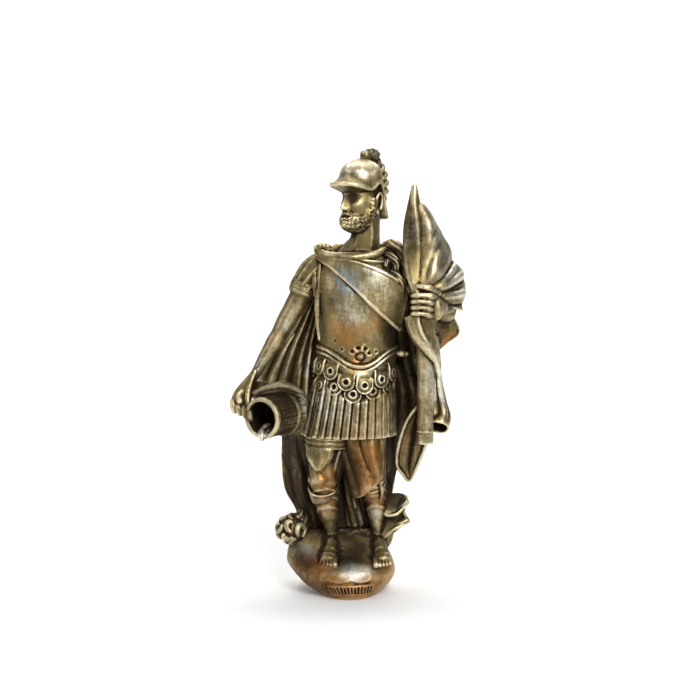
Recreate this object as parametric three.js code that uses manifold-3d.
// A painted plaster statue of a bearded soldier in a crested helmet, cast in one with its oval base.
// He tips a pail with his right hand and holds a furled banner with his left, and a long cloak falls
// behind him to the ground, where flames curl up beside his feet.
// The figure faces -Y, +X is on the viewer's right, +Z is up, and the origin is the centre of the underside.

import * as THREE from "three";
import { LoftGeometry } from "three/addons/geometries/LoftGeometry.js";
import { mergeVertices } from "three/addons/utils/BufferGeometryUtils.js";
import Module from "manifold-3d";

const wasm = await Module();
wasm.setup();

// Driving dimensions, in millimetres
const figureHeight = 455; // ground between the heels to the top of the crest
const baseWidth = 114;
const baseDepth = 106;
const baseRim = 22; // height at which the rounded base is widest
const moundRise = 19; // how far the ground under the feet rises above that
const backRise = 29; // further rise of the ground behind the toes
const bandLength = 50; // raised band on the front of the base
const bandHeight = 13;
const bandProud = 2;
const pailMouth = 43; // outer diameter of the pail at its mouth
const pailBottom = 50; // outer diameter at its closed end
const pailLength = 52;
const pailWall = 3.4;
const pailDepth = 36; // depth of the hollow
const hoopWidth = 5;
const hoopProud = 1.6;
const clothWall = 5; // thickness of the free cloth
const hemPleats = 34; // pleats round the whole hem of the skirt
const pleatDepth = 2.6;

// The figure keeps its proportions: its points are drawn on a figure 455 mm high that stands with its
// soles 45 mm above the underside, and at() and mm() bring the drawn values to the figure's own height.
const drawnHeight = 455;
const drawnSole = 45;
const share = figureHeight / drawnHeight;
const mm = (length) => length * share;
const soleLevel = ground(0, -0.225 * baseDepth); // under the balls of the feet

function at(x, y, z) {
  return new THREE.Vector3(mm(x), mm(y), soleLevel + mm(z - drawnSole));
}

const drawnPlace = (point) => [point.x / share, point.y / share, (point.z - soleLevel) / share + drawnSole];

// Height of the mound over the base's plan: a low dome that climbs from the toes to the heels.
function ground(x, y) {
  const reach = Math.min(1, Math.hypot((2 * x) / baseWidth, (2 * y) / baseDepth));
  const dome = Math.sqrt(1 - reach ** 4);
  const back = smooth((2 * y) / baseDepth, -0.62, 0.16);
  return baseRim + moundRise * dome + backRise * back * (1 - reach ** 3);
}

// Small tools

function smooth(value, low, high) {
  const t = THREE.MathUtils.clamp((value - low) / (high - low), 0, 1);
  return t * t * (3 - 2 * t);
}

function bell(value, width) {
  return Math.exp(-((value / width) ** 2));
}

// Folds of cloth: rounded ridges with sharper valleys, between -1 and 1.
function folds(phase) {
  return 1 - 2 * Math.abs(Math.sin(phase)) ** 1.5;
}

// Smooth curve through evenly spaced numbers, read at t from 0 to 1.
function through(values, t) {
  const place = THREE.MathUtils.clamp(t, 0, 1) * (values.length - 1);
  const i = Math.min(Math.floor(place), values.length - 2);
  const f = place - i;
  const p1 = values[i];
  const p2 = values[i + 1];
  const p0 = i > 0 ? values[i - 1] : 2 * p1 - p2;
  const p3 = i + 2 < values.length ? values[i + 2] : 2 * p2 - p1;
  return p1 + 0.5 * f * (p2 - p0 + f * (2 * p0 - 5 * p1 + 4 * p2 - p3 + f * (3 * (p1 - p2) + p3 - p0)));
}

// The same for a list of rows of numbers.
function rowThrough(rows, t) {
  return rows[0].map((_, k) => through(rows.map((row) => row[k]), t));
}

// A closed three.js geometry as a solid: shared corners merged, collapsed triangles dropped, faces outwards.
function solid(geometry) {
  const bare = geometry.index ? geometry.toNonIndexed() : geometry.clone();
  for (const name of Object.keys(bare.attributes)) {
    if (name !== "position") bare.deleteAttribute(name);
  }
  const merged = mergeVertices(bare, 1e-4);
  const index = merged.index.array;
  const corners = [];
  for (let i = 0; i < index.length; i += 3) {
    const [a, b, c] = [index[i], index[i + 1], index[i + 2]];
    if (a !== b && b !== c && c !== a) corners.push(a, b, c);
  }
  const vertProperties = merged.attributes.position.array;
  const closed = (order) => {
    const triVerts = new Uint32Array(order);
    return new wasm.Manifold(new wasm.Mesh({ numProp: 3, vertProperties, triVerts }));
  };
  const made = closed(corners);
  return made.volume() > 0 ? made : closed(corners.reverse());
}

function joined(solids) {
  return solids.reduce((all, one) => all.add(one));
}

// Triangles of a closed mesh with the vertices left out that a join puts on flat faces and straight edges.
// A vertex is drawn onto its nearest neighbour where the faces round it keep their direction and it stays
// within the slack of them.
const flatSlack = 0.16;
const flatTurn = Math.cos(0.3);
const sliver = 0.02; // twice the area below which a moved face counts as collapsed
function thinned(positions, triangles) {
  const points = [];
  for (let i = 0; i < positions.length; i += 3) points.push(new THREE.Vector3().fromArray(positions, i));
  const faces = [];
  const facesAt = points.map(() => new Set());
  for (let i = 0; i < triangles.length; i += 3) {
    const face = [triangles[i], triangles[i + 1], triangles[i + 2]];
    for (const corner of face) facesAt[corner].add(faces.length);
    faces.push(face);
  }
  const areaNormal = ([a, b, c]) => {
    const side = new THREE.Vector3().subVectors(points[b], points[a]);
    return side.cross(new THREE.Vector3().subVectors(points[c], points[a]));
  };
  const around = (vertex) => {
    const corners = [...facesAt[vertex]].flatMap((f) => faces[f]);
    return new Set(corners.filter((other) => other !== vertex));
  };
  const keepsForm = (vertex, target) =>
    [...facesAt[vertex]].every((f) => {
      if (faces[f].includes(target)) return true;
      const moved = areaNormal(faces[f].map((corner) => (corner === vertex ? target : corner)));
      const before = areaNormal(faces[f]);
      const size = moved.length();
      if (size < sliver) return false;
      const step = new THREE.Vector3().subVectors(points[vertex], points[target]);
      const turned = moved.dot(before) < flatTurn * size * before.length();
      return Math.abs(step.dot(moved)) < flatSlack * size && (before.length() < 2 * sliver || !turned);
    });
  for (let round = 0; round < 4; round++) {
    for (let vertex = 0; vertex < points.length; vertex++) {
      if (!facesAt[vertex].size) continue;
      const near = [...around(vertex)];
      const away = (other) => points[other].distanceToSquared(points[vertex]);
      near.sort((a, b) => away(a) - away(b));
      const target = near.find((other) => {
        const ring = around(other);
        return near.filter((n) => ring.has(n)).length === 2 && keepsForm(vertex, other);
      });
      if (target === undefined) continue;
      for (const f of [...facesAt[vertex]]) {
        if (faces[f].includes(target)) {
          for (const corner of faces[f]) facesAt[corner].delete(f);
          faces[f] = null;
        } else {
          faces[f] = faces[f].map((corner) => (corner === vertex ? target : corner));
          facesAt[target].add(f);
        }
      }
      facesAt[vertex].clear();
    }
  }
  return faces.filter(Boolean).flat();
}

// Rings of points skinned into a solid, each end drawn together at its ring's centre.
function skin(rings) {
  const pole = (ring) => {
    const centre = new THREE.Vector3();
    for (const p of ring) centre.addScaledVector(p, 1 / ring.length);
    return ring.map(() => centre.clone());
  };
  return solid(new LoftGeometry([pole(rings[0]), ...rings, pole(rings[rings.length - 1])]));
}

// A rounded limb along stations [x, y, z, half width, half depth], its width lying along a given direction.
// relief(t, angle) is added to the section's radius; an end is a dome unless it is flat or hollow.
function limb(stations, options = {}) {
  const { sides = 8, steps = stations.length, across = [1, 0, 0] } = options;
  const { relief, end = "round", power = 2 } = options;
  const path = new THREE.CatmullRomCurve3(stations.map(([x, y, z]) => at(x, y, z)));
  const wide = new THREE.Vector3(...across).normalize();
  const ring = (t, shift, shrink) => {
    const ahead = path.getTangent(t);
    const w = wide.clone().addScaledVector(ahead, -wide.dot(ahead)).normalize();
    const d = new THREE.Vector3().crossVectors(ahead, w);
    const halfWide = mm(through(stations.map((s) => s[3]), t));
    const halfDeep = mm(through(stations.map((s) => s[4]), t));
    const centre = path.getPoint(t).addScaledVector(ahead, shift * Math.min(halfWide, halfDeep));
    return Array.from({ length: sides }, (_, j) => {
      const angle = ((j + 0.5) / sides) * 2 * Math.PI;
      const bump = relief ? mm(relief(t, angle)) : 0;
      const c = Math.cos(angle);
      const s = Math.sin(angle);
      return centre
        .clone()
        .addScaledVector(w, Math.sign(c) * Math.abs(c) ** (2 / power) * (halfWide + bump) * shrink)
        .addScaledVector(d, Math.sign(s) * Math.abs(s) ** (2 / power) * (halfDeep + bump) * shrink);
    });
  };
  const rings = [ring(0, -0.6, 0.6)];
  for (let i = 0; i <= steps; i++) rings.push(ring(i / steps, 0, 1));
  if (end === "round") rings.push(ring(1, 0.6, 0.6));
  if (end === "hollow") rings.push(ring(1, 0, 0.72), ring(1 - 0.7 / steps, 0, 0.5));
  return skin(rings);
}

// A thick sheet round a middle surface middle(u, v), thinner towards its edges.
function sheet(middle, nu, nv, wall = clothWall) {
  const step = 1e-3;
  const ease = (t) => 0.5 + 0.5 * Math.min(1, 5 * Math.min(t, 1 - t));
  const rings = [];
  for (let i = 0; i <= nu; i++) {
    const u = i / nu;
    const front = [];
    const back = [];
    for (let j = 0; j <= nv; j++) {
      const v = j / nv;
      const p = middle(u, v);
      const du = middle(Math.min(u + step, 1), v).sub(middle(Math.max(u - step, 0), v));
      const dv = middle(u, Math.min(v + step, 1)).sub(middle(u, Math.max(v - step, 0)));
      const out = du.cross(dv).normalize().multiplyScalar((wall / 2) * ease(u) * ease(v));
      front.push(p.clone().add(out));
      back.unshift(p.clone().sub(out));
    }
    rings.push([...front, ...back]);
  }
  return skin(rings);
}

// A surface through guide rows of points: u runs along the rows and v from the first row to the last.
function drawn(rows, lift) {
  return (u, v) => {
    const [x, y, z] = rowThrough(rows.map((row) => rowThrough(row, u)), v);
    return at(x, y - (lift ? lift(u, v) : 0), z);
  };
}

// A rounded lump with half sizes along x, y and z.
function lump([x, y, z], [a, b, c], { columns = 8, rows = 6, relief } = {}) {
  const rings = [];
  for (let i = 1; i < rows; i++) {
    const e = (i / rows) * Math.PI;
    const ring = Array.from({ length: columns }, (_, j) => {
      const angle = (j / columns) * 2 * Math.PI;
      const swell = 1 + (relief ? relief(angle, e) : 0);
      return at(
        x + a * swell * Math.sin(e) * Math.cos(angle),
        y + b * swell * Math.sin(e) * Math.sin(angle),
        z + c * swell * Math.cos(e),
      );
    });
    rings.push(ring);
  }
  return skin(rings);
}

// A cord or moulding round a closed loop: loop(angle) gives its middle line.
function ringOn(loop, half, steps, sides = 4) {
  const up = new THREE.Vector3(0, 0, 1);
  const rings = Array.from({ length: steps }, (_, i) => {
    const angle = (i / steps) * 2 * Math.PI;
    const ahead = loop(angle + 0.01).sub(loop(angle - 0.01)).normalize();
    const out = new THREE.Vector3().crossVectors(ahead, up).normalize();
    const top = new THREE.Vector3().crossVectors(out, ahead);
    return Array.from({ length: sides }, (__, j) => {
      const a = (j / sides) * 2 * Math.PI;
      const point = loop(angle).addScaledVector(out, mm(half) * Math.cos(a));
      return point.addScaledVector(top, mm(half) * Math.sin(a));
    });
  });
  return solid(new LoftGeometry([...rings, rings[0]]));
}

// Base: a rounded oval, narrow where it stands, under a mound that climbs towards the back.
// Below its rim the base draws in, more at the sides than in front, and a little to the viewer's right.
const footWide = 0.6;
const footDeep = 0.92;
const footShift = 0.045 * baseWidth;
function onBase(angle, rise, proud = 0) {
  const draw = (1 - rise) ** 1.8;
  const wide = ((1 - (1 - footWide) * draw) * baseWidth) / 2 + proud;
  const deep = ((1 - (1 - footDeep) * draw) * baseDepth) / 2 + proud;
  const x = footShift * draw + wide * Math.cos(angle);
  return new THREE.Vector3(x, deep * Math.sin(angle), rise * baseRim);
}

function makeBase() {
  const columns = 28;
  const round = (place) => Array.from({ length: columns }, (_, j) => place((j / columns) * 2 * Math.PI));
  const below = [0, 0.18, 0.45, 0.75, 1].map((rise) => round((angle) => onBase(angle, rise)));
  const above = [0.96, 0.85, 0.7, 0.5, 0.25].map((reach) =>
    round((angle) => {
      const x = (reach * baseWidth * Math.cos(angle)) / 2;
      const y = (reach * baseDepth * Math.sin(angle)) / 2;
      return new THREE.Vector3(x, y, ground(x, y));
    }),
  );
  return skin([...below, ...above]);
}

// Raised band on the front of the base, bare but for a row of upright strokes.
const strokeCount = 7;
const strokeProud = 1.2;
const bandRoot = -4; // how far the band reaches into the base
function makeBand() {
  const middle = -Math.PI / 2 + 0.12;
  const low = 0.22 * baseRim;
  const radius = (baseWidth + baseDepth) / 4;
  const place = (along, z, proud) => onBase(middle + along / radius, Math.min(1, z / baseRim), proud);
  const strip = (from, to, z0, z1, proud, steps) => {
    const rings = [];
    for (let i = 0; i <= steps; i++) {
      const along = from + ((to - from) * i) / steps;
      const lower = [bandRoot, proud].map((out) => place(along, z0, out));
      const upper = [proud, bandRoot].map((out) => place(along, z1, out));
      rings.push([...lower, ...upper]);
    }
    return skin(rings);
  };
  const parts = [strip(-bandLength / 2, bandLength / 2, low, low + bandHeight, bandProud, 6)];
  const pitch = (0.92 * bandLength) / strokeCount;
  const margin = 0.22 * bandHeight;
  for (let i = 0; i < strokeCount; i++) {
    const centre = (i + 0.5 - strokeCount / 2) * pitch;
    const [z0, z1] = [low + margin, low + bandHeight - margin];
    parts.push(strip(centre - 0.22 * pitch, centre + 0.22 * pitch, z0, z1, bandProud + strokeProud, 1));
  }
  return joined(parts);
}

// Legs, boots and bare toes
const legRight = [
  [-4, 2, 215, 24, 24],
  [-17, -4, 165, 20, 20],
  [-24, -15, 127, 16.5, 18],
  [-19, -7, 97, 13.5, 15],
  [-13.5, 1, 70, 8.6, 10],
  [-12.5, 4, 50, 9, 11],
];
const legLeft = [
  [24, 2, 215, 24, 24],
  [27, -2, 165, 19, 20],
  [29, -12, 129, 15.5, 17],
  [33, -5, 98, 12.5, 14],
  [36.5, 1, 70, 8.3, 10],
  [37, 4, 50, 8.8, 11],
];

// Cloth between the thighs, with one long fold down to the left knee and its hem drawn across that knee.
function makeLegCloth() {
  const middle = [
    [4, 3, 186, 14, 7],
    [6, 3, 150, 12, 6],
    [9, 5, 112, 9, 5],
  ];
  const fold = [
    [-7, -17, 180, 3, 3],
    [1, -14, 147, 3.6, 3.6],
    [8, -12, 117, 3, 3],
  ];
  const kneeHem = [
    [8, -12, 117, 2.6, 2.6],
    [19, -26, 119, 2.8, 2.8],
    [32, -28, 128, 3, 3],
  ];
  return joined([
    limb(middle, { sides: 6, steps: 2 }),
    limb(fold, { sides: 5, steps: 2 }),
    limb(kneeHem, { sides: 5, steps: 3, across: [0, 0, 1] }),
  ]);
}

// A boot's top edge flares out, dips in front and leans to one side.
function bootTop([x, y, z], half, lean) {
  const ring = (rise, reach, dip) =>
    Array.from({ length: 10 }, (_, j) => {
      const angle = (j / 10) * 2 * Math.PI;
      const tilt = lean * Math.cos(angle) - dip * Math.max(0, -Math.sin(angle));
      return at(x + reach * Math.cos(angle), y + 1.05 * reach * Math.sin(angle), z + rise + tilt);
    });
  return skin([ring(-15, half - 3.5, 0), ring(-4, half, 4), ring(2, half + 3, 7), ring(2.5, half, 7)]);
}

// A sandalled foot that points down the slope: heel, instep and ball, with five toes in a row.
function foot([x, y], turn, side) {
  const place = (forward, across, z) => [
    x + forward * Math.sin(turn) + across * Math.cos(turn),
    y - forward * Math.cos(turn) + across * Math.sin(turn),
    z,
  ];
  const sole = [
    [...place(-9, 0, 53), 8.5, 9],
    [...place(8, 0, 53), 9.5, 11],
    [...place(22, side, 46.5), 11.5, 8],
    [...place(35, side, 42), 12.5, 6],
  ];
  const toes = [
    [...place(41, -11 * side, 40), 3.6, 4.4],
    [...place(42, 0, 39.5), 3.2, 4],
    [...place(36, 11.5 * side, 40.5), 2.6, 3.4],
  ];
  const toeGaps = (t) => -1.5 * Math.abs(Math.cos(5 * Math.PI * t)) ** 3;
  const across = [Math.cos(turn), Math.sin(turn), 0];
  return joined([
    limb(sole, { sides: 8, steps: 4, across }),
    limb(toes, { sides: 5, steps: 10, across: [0, 0, 1], relief: toeGaps }),
  ]);
}

function makeLegs() {
  const thighBand = (angle) => {
    const [x, y] = [22 * Math.cos(angle), 22 * Math.sin(angle)];
    return at(x - 20, y - 8, 171 - 0.07 * x);
  };
  const lappet = [
    [-31, -27, 174, 12, 4],
    [-31.5, -29, 158, 10.5, 4],
    [-30, -30, 146, 3, 2.5],
  ];
  return joined([
    limb(legRight, { sides: 10, steps: 7 }),
    limb(legLeft, { sides: 10, steps: 7 }),
    bootTop([-24, -13, 119], 16.5, 1.5),
    bootTop([30, -11, 122], 14.5, 2),
    makeLegCloth(),
    lump([36, -25, 127], [4, 3, 4], { columns: 5, rows: 4 }),
    ringOn(thighBand, 1.6, 10, 3),
    limb(lappet, { sides: 6, steps: 2 }),
    foot([-13, 2], -0.16, -1),
    foot([37.5, 2], 0.12, 1),
  ]);
}

// Torso: oval sections [x, y, z, half width, half depth] from the hips to the shoulders.
const torso = [
  [13, 0, 250, 44, 34],
  [13.5, 0, 272, 43.5, 33],
  [14, -0.5, 294, 43.2, 33],
  [14.5, -1.5, 316, 45, 34],
  [15, -2, 338, 47.5, 34.5],
  [14.5, -1, 360, 48, 31.5],
  [16, 2, 382, 37, 24],
];
const torsoLow = torso[0][2];
const torsoHigh = torso[torso.length - 1][2];
const torsoPower = 2.3;

// A point on the torso at an angle from straight ahead, positive to the viewer's right, and standing proud.
function onTorso(angle, z, proud = 0) {
  const [x, y, , wide, deep] = rowThrough(torso, (z - torsoLow) / (torsoHigh - torsoLow));
  const s = Math.sin(angle);
  const c = Math.cos(angle);
  return at(
    x + Math.sign(s) * Math.abs(s) ** (2 / torsoPower) * (wide + proud),
    y - Math.sign(c) * Math.abs(c) ** (2 / torsoPower) * (deep + proud),
    z,
  );
}

// Height of the cuirass's lower edge: level round the hips, dipping to a rounded point in front.
const edgeHeight = (angle) => 274 - 20 * bell(Math.atan2(Math.sin(angle), Math.cos(angle)) - 0.07, 0.6);

// The cuirass's lower edge is a double moulding: rise above the edge, and how proud it stands there.
const edgeMoulding = [
  [-4.5, -2],
  [-3.5, 2],
  [-0.5, 2.2],
  [0.8, 0.4],
  [2, 2.6],
  [5, 2.6],
  [6.5, 0],
];
function makeTorso() {
  const columns = 22;
  const round = (place) => Array.from({ length: columns }, (_, j) => place((j / columns) * 2 * Math.PI));
  const edge = edgeMoulding.map(([rise, proud]) => {
    return round((angle) => onTorso(angle, edgeHeight(angle) + rise, proud));
  });
  const chest = [0.22, 0.42, 0.62, 0.8, 0.92, 1].map((level) =>
    round((angle) => {
      const low = edgeHeight(angle);
      return onTorso(angle, low + (torsoHigh - low) * level);
    }),
  );
  const neck = [
    [18, 3, 372, 34, 22],
    [20, 3, 385, 23, 19],
    [22.5, 1, 398, 16.5, 17],
    [24, 0, 425, 15.5, 17],
  ];
  const palmette = [-1, 0, 1].map((side) => {
    const petal = drawnPlace(onTorso(0.07 + side * 0.16, 270 - 3 * Math.abs(side), 0.8));
    return lump(petal, [4.5, 2.6, 6], { columns: 5, rows: 4 });
  });
  return joined([skin([...edge, ...chest]), limb(neck, { sides: 10, steps: 4 }), ...palmette]);
}

// Pleated skirt: every pleat is a flat strap between two grooves; the part behind the cloak is plain.
const skirtTop = 278;
const skirtHem = 179;
function onSkirt(angle, z, proud = 0) {
  const fall = Math.max(0, (skirtTop - z) / (skirtTop - skirtHem)) ** 1.2;
  const wide = 41 + 11 * fall + proud;
  const deep = 32 + 8 * fall + proud;
  return at(13.5 - 8.5 * fall + wide * Math.sin(angle), -deep * Math.cos(angle), z);
}

function makeSkirt() {
  const pleatAngle = (2 * Math.PI) / hemPleats;
  const shown = Math.round(0.64 * hemPleats);
  const hidden = 5;
  const corners = [];
  for (let i = 0; i < shown; i++) {
    const start = (i - shown / 2) * pleatAngle;
    corners.push([start, -1], [start + 0.22 * pleatAngle, 0], [start + 0.8 * pleatAngle, 0]);
  }
  for (let i = 0; i < hidden; i++) {
    const rest = 2 * Math.PI - shown * pleatAngle;
    corners.push([(shown / 2) * pleatAngle + ((i + 0.5) / hidden) * rest, 0]);
  }
  const deepest = pleatDepth / share;
  const ring = (z, groove, inset) => {
    return corners.map(([angle, part]) => onSkirt(angle, z, part * groove * deepest - inset));
  };
  return skin([ring(skirtTop, 0, 2), ring(236, 0.7, 0), ring(skirtHem, 1, 0), ring(skirtHem, 0.4, 9)]);
}

// Two rows of tongues over the skirt, each a plate with a round end, a raised ring and a hole.
const tongueHalf = 8.6;
const tonguePitch = 0.49;
const holeRadius = 2.4;
function tongue(angle, drop, proud) {
  const z = edgeHeight(angle) - drop;
  const centre = onSkirt(angle, z, proud);
  const out = onSkirt(angle, z, proud + 1).sub(centre).normalize();
  const up = centre.clone().sub(onSkirt(angle, z - 8, proud)).normalize();
  const right = new THREE.Vector3().crossVectors(up, out).normalize();
  const place = (x, y, high) =>
    centre.clone().addScaledVector(right, mm(x)).addScaledVector(up, mm(y)).addScaledVector(out, mm(high));
  const corners = 8;
  const outline = (point) =>
    Array.from({ length: corners }, (_, j) => {
      const a = ((j + 0.5) / corners) * 2 * Math.PI;
      return point(Math.cos(a), Math.sin(a));
    });
  const circle = (radius, high) => outline((c, s) => place(radius * c, radius * s, high));
  const plate = (high) =>
    outline((c, s) => {
      const x = s > 0 ? 0.97 * Math.sign(c) : c;
      return place(tongueHalf * x, tongueHalf * (s > 0 ? 1.7 * s : s), high);
    });
  const ringOuter = 0.66 * tongueHalf;
  return skin([plate(-5), plate(0.8), circle(ringOuter, 2), circle(holeRadius, 2), circle(holeRadius, -2)]);
}

function makeTongues() {
  const parts = [];
  for (let i = -2; i <= 2; i++) parts.push(tongue(i * tonguePitch - 0.07, 28, 0.4));
  for (let i = -2; i <= 3; i++) parts.push(tongue(i * tonguePitch - 0.27, 18, 2.2));
  return joined(parts);
}

// Head, in a frame of its own: x to his left, y to the back, z up from the middle of the skull.
const headTurn = -0.8;
const headPlace = [18.5, -3, 436];
function onHead(x, y, z) {
  const c = Math.cos(headTurn);
  const s = Math.sin(headTurn);
  return at(headPlace[0] + x * c - y * s, headPlace[1] + x * s + y * c, headPlace[2] + z);
}

// How far the face stands out in front of a plain oval: brow, sockets, nose, cheeks, moustache and chin.
function faceRelief(x, z) {
  const side = Math.abs(x);
  const bridge = 2 + 6.5 * smooth(-z, -9, 5);
  const nose = bell(x, 2.8 + 1.4 * smooth(-z, -6, 5)) * bridge * smooth(z, -8.5, -5.5) * smooth(-z, -14, -9);
  const brow = 2.2 * bell(z - 11, 2.8) * bell(side - 7, 7);
  const socket = -3.8 * bell(side - 8, 4.2) * bell(z - 6, 3.4);
  const eye = 2.2 * bell(side - 8, 2.8) * bell(z - 5.6, 2.1);
  const cheek = 1.6 * bell(side - 12, 5) * bell(z + 3, 5);
  const moustache = 3.4 * bell(z + 11 + 0.035 * x * x, 2.4) * bell(x, 10);
  const mouth = -2 * bell(z + 15, 1.6) * bell(x, 5);
  const lip = 1.6 * bell(z + 17.5, 1.6) * bell(x, 4.5);
  const chin = 5.5 * bell(z + 26, 7) * bell(x, 11);
  return nose + brow + socket + eye + cheek + moustache + mouth + lip + chin;
}

// The beard stands out round the jaw in rows of curls.
function beardRelief(angle, z) {
  const area = smooth(-z, 9, 15) * smooth(1.9 - Math.abs(angle), 0, 0.5);
  return area * (2.4 + 1.1 * Math.sin(5.5 * angle + 1.3 * Math.sin(z)) * Math.sin(0.75 * z));
}

function headPoint(angle, e) {
  const z = (e < Math.PI / 2 ? 31 : 35) * Math.cos(e);
  const jaw = 1 - 0.2 * smooth(-z, 4, 30);
  const round = Math.sin(e) ** 0.75;
  const x = 19.5 * jaw * round * Math.sin(angle);
  const front = smooth(Math.cos(angle), 0, 0.5) * smooth(Math.sin(e), 0, 0.5);
  const y = -(24 + 5 * front * smooth(-z, 6, 22)) * round * Math.cos(angle);
  const beard = beardRelief(angle, z);
  return onHead(x + beard * Math.sin(angle), y - front * faceRelief(x, z) - beard * Math.cos(angle), z);
}

function makeHead() {
  const columns = 19;
  const rows = 17;
  const rings = [];
  for (let i = 1; i < rows; i++) {
    const ring = Array.from({ length: columns }, (_, j) => {
      const t = (j / columns) * 2 - 1;
      return headPoint(Math.PI * Math.sign(t) * Math.abs(t) ** 1.45, (Math.PI * i) / rows);
    });
    rings.push(ring);
  }
  const ears = [-1, 1].map((side) => {
    const ring = (deep, tall, out) =>
      Array.from({ length: 6 }, (_, j) => {
        const angle = (j / 6) * 2 * Math.PI;
        return onHead(side * out, 4 + deep * Math.cos(angle), 2 + tall * Math.sin(angle));
      });
    return skin([ring(4, 7, 14), ring(5, 9, 22.5), ring(3, 6, 21)]);
  });
  return joined([skin(rings), ...ears]);
}

// Helmet: a dome above a rim that drops towards the nape, its brim turned up into a short peak in front.
const domeWide = 23.5;
const domeDeep = 26.5;
const domeTop = 48.5;
function rimHeight(angle) {
  const side = Math.abs(angle);
  return 20 - 6 * smooth(side, 0.2, 1.6) - 29 * smooth(side, 1.75, 2.5);
}

function makeHelmet() {
  const columns = 22;
  const ring = (place) =>
    Array.from({ length: columns }, (_, j) => {
      const angle = (j / columns) * 2 * Math.PI - Math.PI;
      const peak = smooth(1.3 - Math.abs(angle), 0, 1);
      const nape = smooth(Math.abs(angle), 2, 2.7);
      const [out, z] = place(rimHeight(angle), peak, nape);
      return onHead((domeWide + out) * Math.sin(angle), 1 - (domeDeep + out) * Math.cos(angle), z);
    });
  const dome = [0.12, 0.35, 0.58, 0.78, 0.93].map((level) => {
    const turn = (level * Math.PI) / 2;
    const inward = ((1 - Math.cos(turn) ** 0.9) * (domeWide + domeDeep)) / 2;
    return ring((low) => [-inward, low + (domeTop - low) * Math.sin(turn)]);
  });
  return skin([
    ring((low, peak) => [-4, low - 2 - 8 * peak]),
    ring((low, peak, nape) => [1.4 + 11 * peak + 3 * nape, low - 1.2]),
    ring((low, peak, nape) => [1.2 + 11 * peak + 3 * nape, low + 1.4]),
    ring((low) => [0, low + 3]),
    ...dome,
  ]);
}

// Crest: a row of curled locks from the crown down to the nape, with a tuft at its front.
const crestLocks = 8;
function makeCrest() {
  const bends = 9;
  const stations = Array.from({ length: bends + 1 }, (_, i) => {
    const angle = 1.55 - (i / bends) * 2.05;
    const out = 30 + 3 * Math.sin((i / bends) * Math.PI);
    const place = drawnPlace(onHead(0, 2 + out * Math.cos(angle), 19 + out * Math.sin(angle)));
    return [...place, 4.4, 8 - 2 * (i / bends)];
  });
  const relief = (t) => 1.7 * Math.cos(t * 2 * Math.PI * crestLocks);
  const across = [Math.cos(headTurn), Math.sin(headTurn), 0];
  const tuft = [
    [0, 53, 4.5],
    [8, 58, 5.5],
    [17, 55, 5.5],
  ];
  const curls = tuft.map(([y, z, size]) => {
    return lump(drawnPlace(onHead(0, y, z)), [size, size, size], { columns: 6, rows: 4 });
  });
  return joined([limb(stations, { sides: 5, steps: 2 * crestLocks, across, relief }), ...curls]);
}

// Right arm: a puffed sleeve with a hem, the bare arm and a fist on the pail's rim.
function makeRightArm() {
  const across = [0.86, 0, -0.5];
  const sleeve = [
    [-20, 1, 374, 13, 16],
    [-33, 0, 361, 17, 18],
    [-44, -3, 345, 15.5, 16.5],
    [-47, -3.5, 339, 14, 15],
  ];
  const hem = [
    [-46.2, -3.4, 341.5, 15.6, 16.5],
    [-48.2, -3.8, 338, 15.6, 16.5],
  ];
  const arm = [
    [-42, -2, 348, 12, 13],
    [-54, -5, 325, 11.2, 12],
    [-67, -8, 303, 10.2, 11],
    [-78, -11, 284, 8.8, 9.5],
    [-88, -15, 267, 7.4, 8],
    [-97, -20, 251, 5.8, 6.3],
    [-103, -24, 242, 5.8, 6],
  ];
  const palm = [
    [-103, -24, 243, 6, 6],
    [-109, -29, 232, 9.5, 8],
    [-114, -34, 221, 12, 9],
    [-113, -38, 213, 11, 8],
  ];
  const thumb = [
    [-109, -34, 230, 3.6, 3.6],
    [-114, -43, 223, 3.8, 3.8],
  ];
  const knuckles = [
    [-124, -38, 217, 4, 5.5],
    [-114, -44, 210, 4.2, 6],
    [-103, -45, 208, 4, 5.5],
  ];
  const fingerGaps = (t) => -1.2 * Math.abs(Math.cos(4 * Math.PI * t)) ** 3;
  return joined([
    limb(sleeve, { sides: 8, steps: 4, across, relief: (t, angle) => 0.9 * folds(4 * angle) * t }),
    limb(hem, { sides: 8, steps: 1, across }),
    limb(arm, { sides: 8, steps: 6, across }),
    limb(palm, { sides: 7, steps: 3 }),
    limb(thumb, { sides: 5, steps: 1 }),
    limb(knuckles, { sides: 5, steps: 8, across: [0, 0, 1], relief: fingerGaps }),
  ]);
}

// Pail: round and hooped, lying on its side with its mouth to the front and its bottom in the cloak.
const pailMiddle = [-90, -58, 204];
const pailAxis = new THREE.Vector3(29, 46, 2).normalize();
const staveCount = 16;
function makePail() {
  const radius = (along) => (pailMouth + ((pailBottom - pailMouth) * along) / pailLength) / 2;
  const farHoop = pailLength * 0.68;
  const profile = [
    [0, pailDepth],
    [radius(pailDepth) - pailWall, pailDepth],
    [radius(0) - pailWall, 0],
    [radius(0) + hoopProud, 0],
    [radius(hoopWidth) + hoopProud, hoopWidth],
    [radius(hoopWidth), hoopWidth + 0.5],
    [radius(farHoop), farHoop - 0.5],
    [radius(farHoop) + hoopProud, farHoop],
    [radius(farHoop + hoopWidth) + hoopProud, farHoop + hoopWidth],
    [radius(farHoop + hoopWidth), farHoop + hoopWidth + 0.5],
    [radius(pailLength), pailLength],
    [0, pailLength],
  ];
  const pail = new THREE.LatheGeometry(profile.map(([r, y]) => new THREE.Vector2(r, y)), staveCount);
  pail.applyQuaternion(new THREE.Quaternion().setFromUnitVectors(new THREE.Vector3(0, 1, 0), pailAxis));
  const mouth = at(...pailMiddle);
  pail.translate(mouth.x, mouth.y, mouth.z);
  return solid(pail);
}

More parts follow.
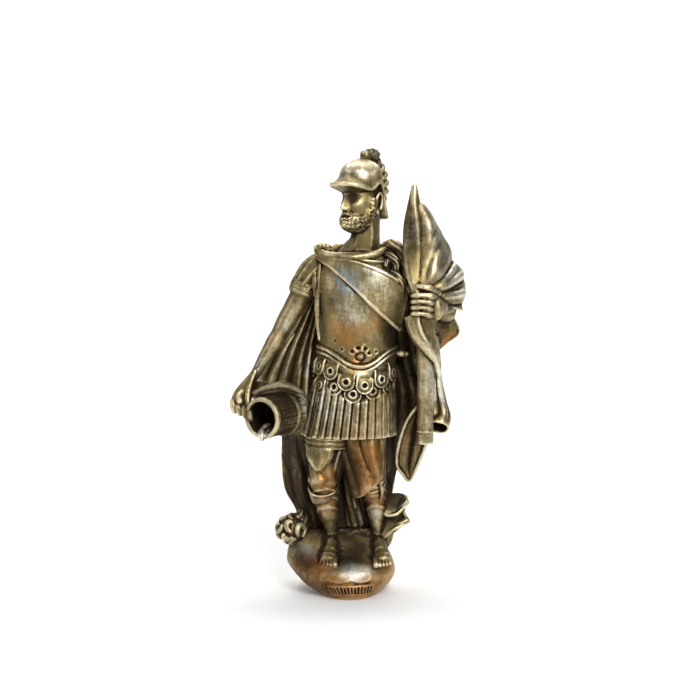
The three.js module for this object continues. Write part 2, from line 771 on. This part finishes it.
// Water running out over the lower rim of the pail.
function makeWater() {
  const place = (inside, rise, side, half) => {
    const low = at(...pailMiddle).addScaledVector(pailAxis, inside);
    low.add(new THREE.Vector3(side, -0.6 * side, rise - pailMouth / 2));
    return [...drawnPlace(low), half, 0.8 * half];
  };
  const stations = [place(24, 4, 2, 7), place(12, 6, 1, 7.5), place(1, 3, 0, 6), place(-3, -3, -1, 4)];
  return limb(stations, { sides: 5, steps: 3 });
}

// Cloak: oval sections [left edge, right edge, front, back, height] from the collar to the ground.
const cloak = [
  [-10, 44, 4, 22, 391],
  [-34, 64, 1, 31, 378],
  [-44, 80, 2, 36, 355],
  [-52, 89, 4, 38, 327],
  [-62, 97, 5, 38, 299],
  [-83, 103, 4, 38, 271],
  [-96, 104, 3, 39, 248],
  [-98, 103, 3, 40, 228],
  [-82, 98, 4, 40, 208],
  [-72, 80, 5, 40, 178],
  [-71, 61, 5, 40, 144],
  [-67, 53, 6, 40, 112],
  [-54, 49, 6, 41, 86],
  [-50, 47, 6, 43, 56],
];
const cloakFolds = 9;
function makeCloak() {
  const columns = 3 * cloakFolds;
  const levels = cloak.length - 1;
  const rings = [];
  for (let i = 0; i <= levels; i++) {
    const t = i / levels;
    const [left, right, front, back, z] = rowThrough(cloak, t);
    const depth = 3.4 * smooth(t, 0, 0.3);
    const ring = Array.from({ length: columns }, (_, j) => {
      const angle = (j / columns) * 2 * Math.PI;
      const wave = depth * folds((cloakFolds * angle) / 2 + 1.2 * Math.sin(2.4 * t));
      const c = Math.cos(angle);
      const x = (left + right) / 2 + ((right - left) / 2 + wave) * Math.sign(c) * Math.abs(c) ** 0.8;
      const y = (front + back) / 2 + ((back - front) / 2 + wave) * Math.sin(angle);
      return at(x, y, z);
    });
    rings.push(ring);
  }
  return skin(rings);
}

// Cloak in front: rolls of cloth from the knot on his right shoulder, round the neck and across the chest.
function makeCollar() {
  const roll = (line, half) => {
    const stations = line.map((point) => [...point, half, half]);
    return limb(stations, { sides: 5, steps: 6, across: [0, 0.3, 1] });
  };
  const neckLine = [
    [-31, -12, 384],
    [-15, -28, 379],
    [4, -33, 377],
    [21, -32, 379],
    [36, -25, 385],
    [46, -10, 394],
  ];
  const upperEdge = [
    [-31, -14, 380],
    [-12, -31, 375],
    [8, -37, 372],
    [27, -39, 366],
    [44, -37, 359],
    [60, -32, 349],
    [70, -28, 341],
  ];
  const lowerEdge = [
    [-30, -14, 376],
    [-12, -33, 364],
    [12, -39, 343],
    [32, -39, 323],
    [49, -34, 308],
    [60, -26, 298],
  ];
  const armFold = [
    [-30, -12, 376],
    [-33, -17, 352],
    [-32, -18, 334],
  ];
  return joined([
    roll(neckLine, 4.2),
    roll(upperEdge, 2.6),
    roll(lowerEdge, 2.8),
    roll(armFold, 3.2),
    sheet(drawn([upperEdge, lowerEdge]), 5, 1),
    lump([-29, -11, 387], [9, 8, 6], { columns: 6, rows: 4 }),
    lump([-22, -15, 382], [6, 5, 5], { columns: 6, rows: 4 }),
  ]);
}

// Left arm under the cloak, and the cloth bunched on that shoulder.
function makeLeftArm() {
  const sleeve = [
    [48, 3, 374, 19, 17],
    [80, 5, 354, 23, 18],
    [106, 3, 334, 20, 16],
    [110, -10, 319, 14, 13],
    [101, -30, 321, 9.5, 9.5],
    [93, -44, 326, 8, 8],
  ];
  const bunch = [0, 1, 2].map((i) => {
    const stations = [
      [50 + 6 * i, -6, 394 - 3 * i, 5, 5],
      [55 + 5 * i, -16, 378 - 4 * i, 6.5, 6],
      [53 + 5 * i, -23, 358 - 5 * i, 5.5, 5.5],
      [55 + 4 * i, -24, 336 - 4 * i, 4, 4],
    ];
    return limb(stations, { sides: 5, steps: 4 });
  });
  return joined([limb(sleeve, { sides: 9, steps: 7, across: [0.4, 0, 1] }), ...bunch]);
}

// Left hand: a palm behind the pole and four fingers closed round it.
function makeLeftHand() {
  const palm = [
    [100, -38, 326, 9, 8],
    [90, -48, 327, 8, 9.5],
    [80, -52, 327, 6, 9.5],
  ];
  const fingers = [0, 1, 2, 3].map((i) => {
    const z = 335.5 - 5.7 * i;
    const stations = [
      [98 - i * 0.4, -46, z, 3.2, 3.1],
      [88, -59, z + 0.4, 3.1, 3],
      [76, -61, z, 3, 2.9],
      [70.5, -54, z - 0.4, 2.7, 2.7],
    ];
    return limb(stations, { sides: 5, steps: 3, across: [0, 0, 1] });
  });
  return joined([limb(palm, { sides: 7, steps: 2, across: [0, 0, 1] }), ...fingers]);
}

// Banner: a pointed pole with the flag rolled round it above the hand, and the rolled end below.
function makeBanner() {
  const roll = [
    [75, -30, 454, 2.2, 2.2],
    [75, -30, 445, 4.2, 4],
    [75, -30, 430, 7.6, 7],
    [75, -31, 412, 10.4, 9],
    [74.5, -33, 392, 10.8, 9],
    [74, -38, 370, 9.4, 8],
    [75, -45, 350, 7, 7],
    [79, -50, 334, 5, 5],
    [82, -49, 314, 5, 5],
    [86, -40, 292, 7.5, 7.5],
  ];
  const tube = [
    [86, -40, 292, 7.5, 7.5],
    [87, -35, 270, 8.2, 8],
    [88, -31, 236, 8.4, 8.2],
    [88, -29, 205, 8.4, 8.2],
    [88, -28, 172, 8.6, 8.4],
  ];
  const twist = (t, angle) => 0.9 * Math.cos(3 * angle + 9 * t) * smooth(t, 0.05, 0.3) * (1 - t);
  return joined([
    limb(roll, { sides: 7, steps: 9, relief: twist }),
    limb(tube, { sides: 7, steps: 3, end: "hollow" }),
  ]);
}

// Flag: cloth that spreads from the roll over the arm, with folds that fan out from the hand.
function makeFlag() {
  const inner = [
    [79, -30, 436],
    [84, -29, 413],
    [83, -31, 390],
    [81, -38, 367],
    [81, -44, 347],
    [92, -38, 329],
  ];
  const middle = [
    [81, -30, 434],
    [92, -31, 410],
    [97, -33, 390],
    [100, -36, 368],
    [105, -34, 348],
    [108, -30, 326],
  ];
  const outer = [
    [82, -26, 435],
    [98, -16, 413],
    [110, -8, 392],
    [121, -2, 370],
    [133, -2, 345],
    [128, -6, 318],
  ];
  const lift = (u, v) => 3.6 * v * folds(5.2 * Math.PI * u - 1.2 * v);
  return sheet(drawn([inner, middle, outer], lift), 13, 3, clothWall + 4);
}

// Cloth below the left hand: the folded end of the flag, which hangs from the hand to a point.
function makeFoldedEnd() {
  const low = [
    [66, -48, 312],
    [70, -50, 297],
    [78, -48, 284],
    [90, -42, 270],
    [99, -36, 261],
    [103, -30, 245],
  ];
  const middle = [
    [76, -55, 318],
    [80, -56, 303],
    [86, -53, 289],
    [94, -47, 276],
    [100, -40, 264],
    [103, -31, 246],
  ];
  const high = [
    [88, -50, 318],
    [91, -49, 306],
    [95, -46, 294],
    [99, -40, 281],
    [102, -35, 266],
    [104, -30, 248],
  ];
  return sheet(drawn([low, middle, high]), 6, 2);
}

// The corner of the cloak that falls from the forearm, and the cloak's hanging edge, open at its hem.
function makeHangingEdge() {
  const cornerTop = [
    [94, -36, 318],
    [107, -20, 325],
    [118, -9, 310],
    [126, -1, 293],
  ];
  const cornerLow = [
    [90, -32, 300],
    [95, -26, 288],
    [98, -18, 280],
    [102, -10, 274],
  ];
  const hanging = [
    [98, -16, 290, 6, 16],
    [98, -14, 262, 7, 15],
    [99, -13, 236, 9, 14],
    [102, -12, 210, 11, 13],
    [105, -11, 192, 12.5, 13],
    [101, -13, 181, 12, 12],
  ];
  return joined([
    sheet(drawn([cornerTop, cornerLow]), 4, 2, clothWall + 2),
    limb(hanging, { sides: 8, steps: 5, end: "hollow", power: 2.4 }),
  ]);
}

// A leaf-shaped end of cloth with a groove down its middle, below the rolled banner.
function makeLeaf() {
  const left = [
    [82, -27, 216],
    [69, -24, 197],
    [60, -20, 170],
    [58, -17, 147],
    [65, -14, 135],
    [72, -13, 128],
  ];
  const middle = [
    [86, -22, 216],
    [79, -18, 196],
    [75, -13, 172],
    [72, -11, 151],
    [72, -11, 139],
    [73, -12, 129],
  ];
  const right = [
    [92, -27, 216],
    [93, -25, 196],
    [91, -20, 174],
    [85, -16, 156],
    [79, -14, 141],
    [74, -13, 130],
  ];
  return sheet(drawn([left, middle, right]), 6, 3);
}

// Flames at his feet: a ball of curled tongues on his right, and on his left a flame of two tongues with
// a hollow between them.
function makeFlames() {
  const ball = lump([-60, -16, 74], [15, 14, 15.5], {
    columns: 11,
    rows: 8,
    relief: (angle, e) => 0.17 * Math.sin(3 * angle + 4 * e) * Math.sin(4 * e) - 0.02,
  });
  const upper = [
    [43, 10, 92, 11, 8],
    [53, 4, 93, 10, 7],
    [62, 1, 96, 8, 6.5],
    [69, 0, 97, 4, 5],
  ];
  const lower = [
    [42, 6, 59, 11, 9],
    [52, 4, 65, 9, 6],
    [62, 1, 74, 6.5, 4],
    [72, 0, 80, 3, 5],
  ];
  const hollow = [
    [46, 12, 76, 16, 5],
    [58, 9, 82, 13, 4.5],
    [68, 4, 87, 7, 4],
  ];
  const across = [0, 0.3, 1];
  return joined([
    ball,
    lump([-50, 4, 78], [14, 16, 26], { columns: 7, rows: 5 }),
    limb(upper, { sides: 7, steps: 3, across: [0, 1, 0] }),
    limb(lower, { sides: 7, steps: 3, across: [0, 1, 0] }),
    limb(hollow, { sides: 6, steps: 2, across }),
  ]);
}

const whole = joined([
  makeBase(),
  makeBand(),
  makeLegs(),
  makeTorso(),
  makeSkirt(),
  makeTongues(),
  makeHead(),
  makeHelmet(),
  makeCrest(),
  makeRightArm(),
  makePail(),
  makeWater(),
  makeCloak(),
  makeCollar(),
  makeLeftArm(),
  makeLeftHand(),
  makeBanner(),
  makeFlag(),
  makeFoldedEnd(),
  makeHangingEdge(),
  makeLeaf(),
  makeFlames(),
]);

// Spaces sealed inside the cast are filled: they come out of the join as bodies turned inside out.
const cast = joined(whole.decompose().filter((body) => body.volume() > 0));
const { vertProperties, triVerts } = cast.getMesh();
const geometry = new THREE.BufferGeometry();
geometry.setAttribute("position", new THREE.BufferAttribute(new Float32Array(vertProperties), 3));
geometry.setIndex(thinned(vertProperties, triVerts));

const bronzedPlaster = new THREE.MeshStandardMaterial({ color: 0x8a7444, roughness: 0.42, metalness: 0.7 });
const statue = new THREE.Mesh(mergeVertices(geometry.toNonIndexed(), 1e-5), bronzedPlaster);
statue.name = "statue";

const part = new THREE.Group();
part.add(statue);
export default part;
